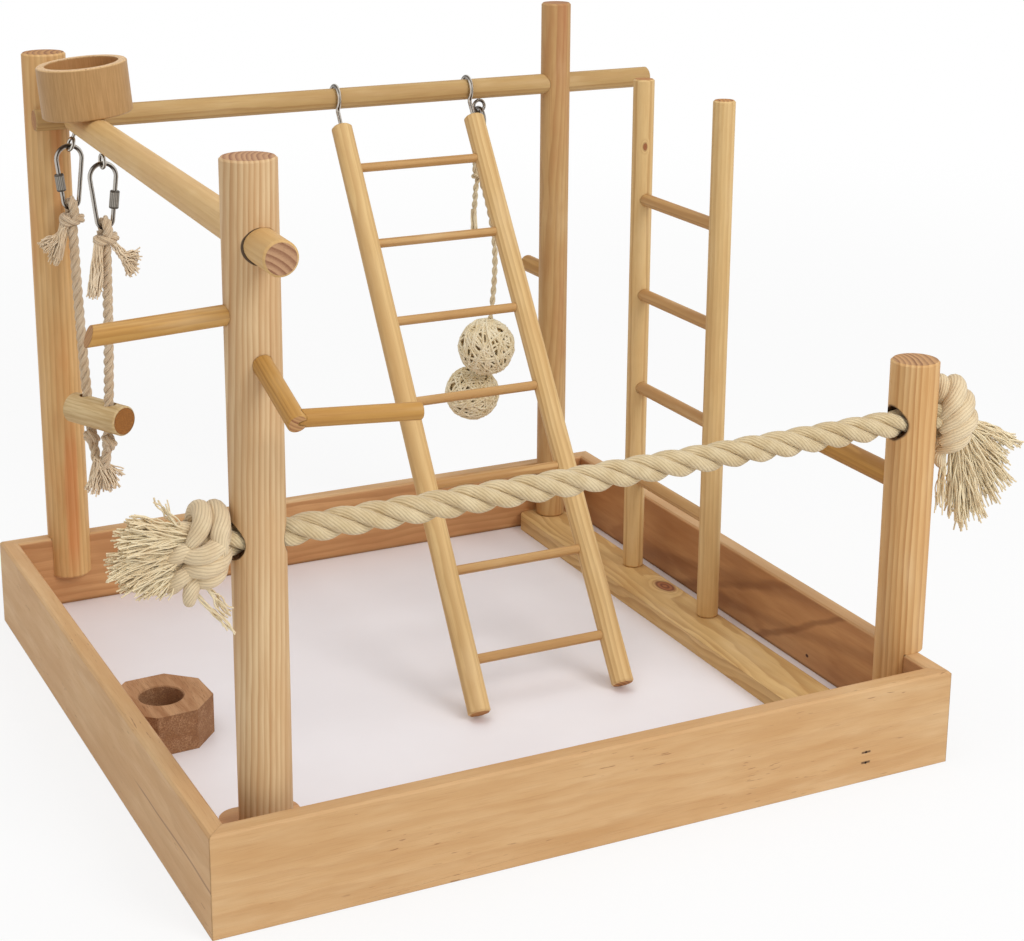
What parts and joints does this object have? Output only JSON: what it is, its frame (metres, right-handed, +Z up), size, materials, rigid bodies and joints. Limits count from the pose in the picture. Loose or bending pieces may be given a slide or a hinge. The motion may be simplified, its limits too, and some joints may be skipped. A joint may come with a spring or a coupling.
{
  "type": "parrot play stand",
  "caption": "Wooden play stand for a small parrot: a low tray with posts, perches, two ladders, a swing, a hanging toy, a seed cup and a thick rope.",
  "frame": {"origin": "centre of the tray's flat underside", "axes": "+X runs along the front board to the right, +Y goes to the back, +Z up"},
  "size_m": [0.5953, 0.5212, 0.428],
  "materials": {
    "white_panel": "smooth white faced board",
    "tray_pine": "sanded, clear",
    "plank_pine": "sanded, clear",
    "front_post_pine": "sanded, clear",
    "rear_post_pine": "sanded, clear",
    "beam_pine": "sanded, clear",
    "cup_bamboo": "turned, unvarnished",
    "perch_wood": "sanded, clear",
    "rung_wood": "sanded, clear",
    "rod_pine": "sanded, clear",
    "swing_wood": "sanded, clear",
    "treat_wood": "rough sawn",
    "blued_steel": "dark",
    "screw_steel": "satin",
    "hook_steel": "satin",
    "link_steel": "dark satin",
    "swing_rope": "twisted cotton",
    "toy_string": "twisted cord",
    "woven_vine": "woven strips",
    "thick_rope": "twisted sisal"
  },
  "bodies": {
    "stand": {"cross_plank": "plank_pine", "front_crossbar": "perch_wood", "front_left_foot": "tray_pine", "front_left_post": "front_post_pine", "front_perch": "perch_wood", "front_right_post": "front_post_pine", "left_perch": "perch_wood", "plank_pins": "blued_steel", "rear_left_post": "rear_post_pine", "rear_right_post": "rear_post_pine", "rear_stub_perch": "perch_wood", "rope_left_end": "thick_rope", "rope_right_end": "thick_rope", "seed_cup": "cup_bamboo", "seed_cup_screw": "screw_steel", "side_perch": "perch_wood", "standing_ladder_front_rod": "rod_pine", "standing_ladder_rear_rod": "rod_pine", "standing_ladder_rung_1": "rung_wood", "standing_ladder_rung_2": "rung_wood", "standing_ladder_rung_3": "rung_wood", "standing_ladder_rung_4": "rung_wood", "swing_eyes": "hook_steel", "thick_rope": "thick_rope", "top_beam": "beam_pine", "top_rail": "beam_pine", "toy_eye": "hook_steel", "tray_floor_panel": "white_panel", "tray_front_board": "tray_pine", "tray_left_board": "tray_pine", "tray_rear_board": "tray_pine", "tray_right_board": "tray_pine", "treat_block": "treat_wood"},
    "hanging_ladder": {"hanging_ladder_left_rod": "rod_pine", "hanging_ladder_right_rod": "rod_pine", "ladder_left_hook": "hook_steel", "ladder_right_hook": "hook_steel", "hanging_ladder_rung_1": "rung_wood", "hanging_ladder_rung_2": "rung_wood", "hanging_ladder_rung_3": "rung_wood", "hanging_ladder_rung_4": "rung_wood", "hanging_ladder_rung_5": "rung_wood", "hanging_ladder_rung_6": "rung_wood", "hanging_ladder_rung_7": "rung_wood"},
    "swing_links": {"swing_rear_link": "link_steel", "swing_front_link": "link_steel"},
    "swing_rear_nut": {"swing_rear_link_nut": "link_steel"},
    "swing_front_nut": {"swing_front_link_nut": "link_steel"},
    "swing": {"swing_rear_rope": "swing_rope", "swing_front_rope": "swing_rope", "swing_rope_knots": "swing_rope", "swing_perch": "swing_wood", "swing_stopper_knots": "swing_rope", "swing_tassel": "swing_rope"},
    "toy_link": {"toy_link": "link_steel"},
    "toy_nut": {"toy_link_nut": "link_steel"},
    "toy": {"toy_string": "toy_string", "toy_knot": "toy_string", "toy_upper_ball": "woven_vine", "toy_lower_ball": "woven_vine"}
  },
  "joints": [
    {"name": "ladder_lift", "type": "hinge", "parent": "stand", "child": "hanging_ladder", "pos_m": [0, 0.212, 0.3675], "axis": [-1, 0, 0], "range_deg": [0, 26]},
    {"name": "swing_links_swing", "type": "hinge", "parent": "stand", "child": "swing_links", "pos_m": [-0.18405, 0.20034, 0.34757], "axis": [-0.083, 0.9963, 0.0242], "range_deg": [-25, 25]},
    {"name": "swing_sway", "type": "hinge", "parent": "swing_links", "child": "swing", "pos_m": [-0.18405, 0.20034, 0.31307], "axis": [-0.083, 0.9963, 0.0242], "range_deg": [-12, 12]},
    {"name": "swing_rear_nut_slide", "type": "slide", "parent": "swing_links", "child": "swing_rear_nut", "axis": [-0.1224, -0.0102, 0.9924], "range_m": [0, 0.0085]},
    {"name": "swing_front_nut_slide", "type": "slide", "parent": "swing_links", "child": "swing_front_nut", "axis": [0.1224, 0.0102, 0.9924], "range_m": [0, 0.0085]},
    {"name": "toy_link_swing", "type": "hinge", "parent": "stand", "child": "toy_link", "pos_m": [0.131, 0.212, 0.35], "axis": [1, 0, 0], "range_deg": [-12, 12]},
    {"name": "toy_sway", "type": "hinge", "parent": "toy_link", "child": "toy", "pos_m": [0.131, 0.212, 0.31], "axis": [0, 1, 0], "range_deg": [-9, 9]},
    {"name": "toy_nut_slide", "type": "slide", "parent": "toy_link", "child": "toy_nut", "axis": [0, -0.1228, 0.9924], "range_m": [0, 0.0085]}
  ]
}
